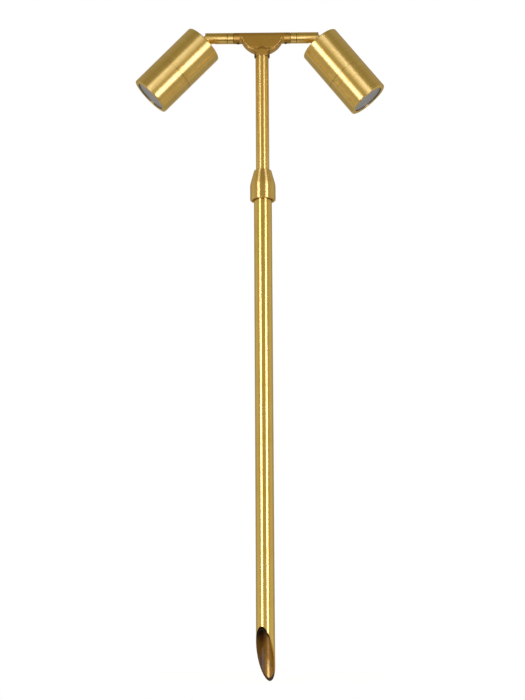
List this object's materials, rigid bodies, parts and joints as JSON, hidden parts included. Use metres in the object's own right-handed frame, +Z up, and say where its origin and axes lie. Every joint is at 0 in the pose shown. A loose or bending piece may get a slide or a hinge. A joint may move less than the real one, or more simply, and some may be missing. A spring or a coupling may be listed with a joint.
{
  "type": "garden spike spotlight",
  "caption": "Brass garden spike light: tilting cylindrical spot heads on swivelling arms, on a telescopic pole with a slanted tube spike.",
  "frame": {"origin": "on the pole's axis, level with the tip of the spike", "axes": "+Z up the pole, +X along the arms to the right as seen from the front, -Y to the front"},
  "size_m": [0.3568, 0.06, 0.9174],
  "materials": {
    "brass_tube": "satin, polished round the tube",
    "brass_head": "satin, polished round the head",
    "brass_arm": "turned, satin to polished",
    "brass_cast": "matt, fine blasted",
    "brass_turned": "fine turned satin",
    "black_steel": "black oxide",
    "stainless": "plain",
    "rubber": "matt",
    "nylon": "matt black",
    "ceramic": "unglazed ceramic",
    "lamp_body": "satin",
    "glass": "flat tempered, frosted inside"
  },
  "bodies": {
    "pole": {"lower_tube": "brass_tube", "gland_body": "brass_turned"},
    "collet": {"collet": "nylon"},
    "mast": {"upper_tube": "brass_tube", "guide_bush": "nylon", "bush_pins": "stainless", "wire_grommet": "rubber", "bracket": "brass_cast", "arm_lock_screws": "black_steel"},
    "collar_rise": {"thrust_washer": "stainless", "wiper_seal": "rubber"},
    "collar": {"collar": "brass_turned"},
    "left_arm": {"left_arm": "brass_arm", "left_arm_ring": "brass_arm", "left_spigot_seal": "rubber", "left_knuckle_screw": "stainless"},
    "left_head": {"left_knuckle": "brass_turned", "left_knuckle_seal": "rubber", "left_stem_nut": "brass_turned", "left_rear_housing": "brass_head", "left_seam_seal": "rubber", "left_holder_strap": "stainless", "left_holder_screws": "stainless", "left_lamp_holder": "ceramic", "left_lamp": "lamp_body"},
    "left_glass_unit": {"left_glass": "glass", "left_glass_gasket": "rubber", "left_glass_retainer": "brass_turned"},
    "left_sleeve": {"left_front_sleeve": "brass_head"},
    "right_arm": {"right_arm": "brass_arm", "right_arm_ring": "brass_arm", "right_spigot_seal": "rubber", "right_knuckle_screw": "stainless"},
    "right_head": {"right_knuckle": "brass_turned", "right_knuckle_seal": "rubber", "right_stem_nut": "brass_turned", "right_rear_housing": "brass_head", "right_seam_seal": "rubber", "right_holder_strap": "stainless", "right_holder_screws": "stainless", "right_lamp_holder": "ceramic", "right_lamp": "lamp_body"},
    "right_glass_unit": {"right_glass": "glass", "right_glass_gasket": "rubber", "right_glass_retainer": "brass_turned"},
    "right_sleeve": {"right_front_sleeve": "brass_head"}
  },
  "joints": [
    {"name": "mast_turn", "type": "hinge", "parent": "pole", "child": "collet", "pos_m": [0, 0, 0.68], "axis": [0, 0, 1], "range_deg": [-180, 180]},
    {"name": "mast_height", "type": "slide", "parent": "collet", "child": "mast", "axis": [0, 0, 1], "range_m": [-0.165, 0.2]},
    {"name": "collar_lift", "type": "slide", "parent": "pole", "child": "collar_rise", "axis": [0, 0, 1], "range_m": [0, 0.0015]},
    {"name": "collar_turn", "type": "hinge", "parent": "collar_rise", "child": "collar", "pos_m": [0, 0, 0.683], "axis": [0, 0, 1], "range_deg": [0, 360]},
    {"name": "left_arm_swivel", "type": "hinge", "parent": "mast", "child": "left_arm", "pos_m": [-0.0325, 0, 0.9054], "axis": [1, 0, 0], "range_deg": [-170, 170]},
    {"name": "left_head_tilt", "type": "hinge", "parent": "left_arm", "child": "left_head", "pos_m": [-0.07635, 0, 0.9054], "axis": [0, -1, 0], "range_deg": [-136, 44]},
    {"name": "left_sleeve_travel", "type": "slide", "parent": "left_head", "child": "left_glass_unit", "axis": [-0.6947, 0, -0.7193], "range_m": [0, 0.003]},
    {"name": "left_sleeve_turn", "type": "hinge", "parent": "left_glass_unit", "child": "left_sleeve", "pos_m": [-0.07635, 0, 0.9054], "axis": [-0.6947, 0, -0.7193], "range_deg": [0, 720]},
    {"name": "right_arm_swivel", "type": "hinge", "parent": "mast", "child": "right_arm", "pos_m": [0.0325, 0, 0.9054], "axis": [1, 0, 0], "range_deg": [-170, 170]},
    {"name": "right_head_tilt", "type": "hinge", "parent": "right_arm", "child": "right_head", "pos_m": [0.07635, 0, 0.9054], "axis": [0, 1, 0], "range_deg": [-141.5, 38.5]},
    {"name": "right_sleeve_travel", "type": "slide", "parent": "right_head", "child": "right_glass_unit", "axis": [0.6225, 0, -0.7826], "range_m": [0, 0.003]},
    {"name": "right_sleeve_turn", "type": "hinge", "parent": "right_glass_unit", "child": "right_sleeve", "pos_m": [0.07635, 0, 0.9054], "axis": [0.6225, 0, -0.7826], "range_deg": [0, 720]}
  ],
  "couplings": [
    {"joint": "collar_lift", "follows": "collar_turn", "m_per_rad": 0.00023873},
    {"joint": "left_sleeve_travel", "follows": "left_sleeve_turn", "m_per_rad": 0.00023873},
    {"joint": "right_sleeve_travel", "follows": "right_sleeve_turn", "m_per_rad": 0.00023873}
  ]
}
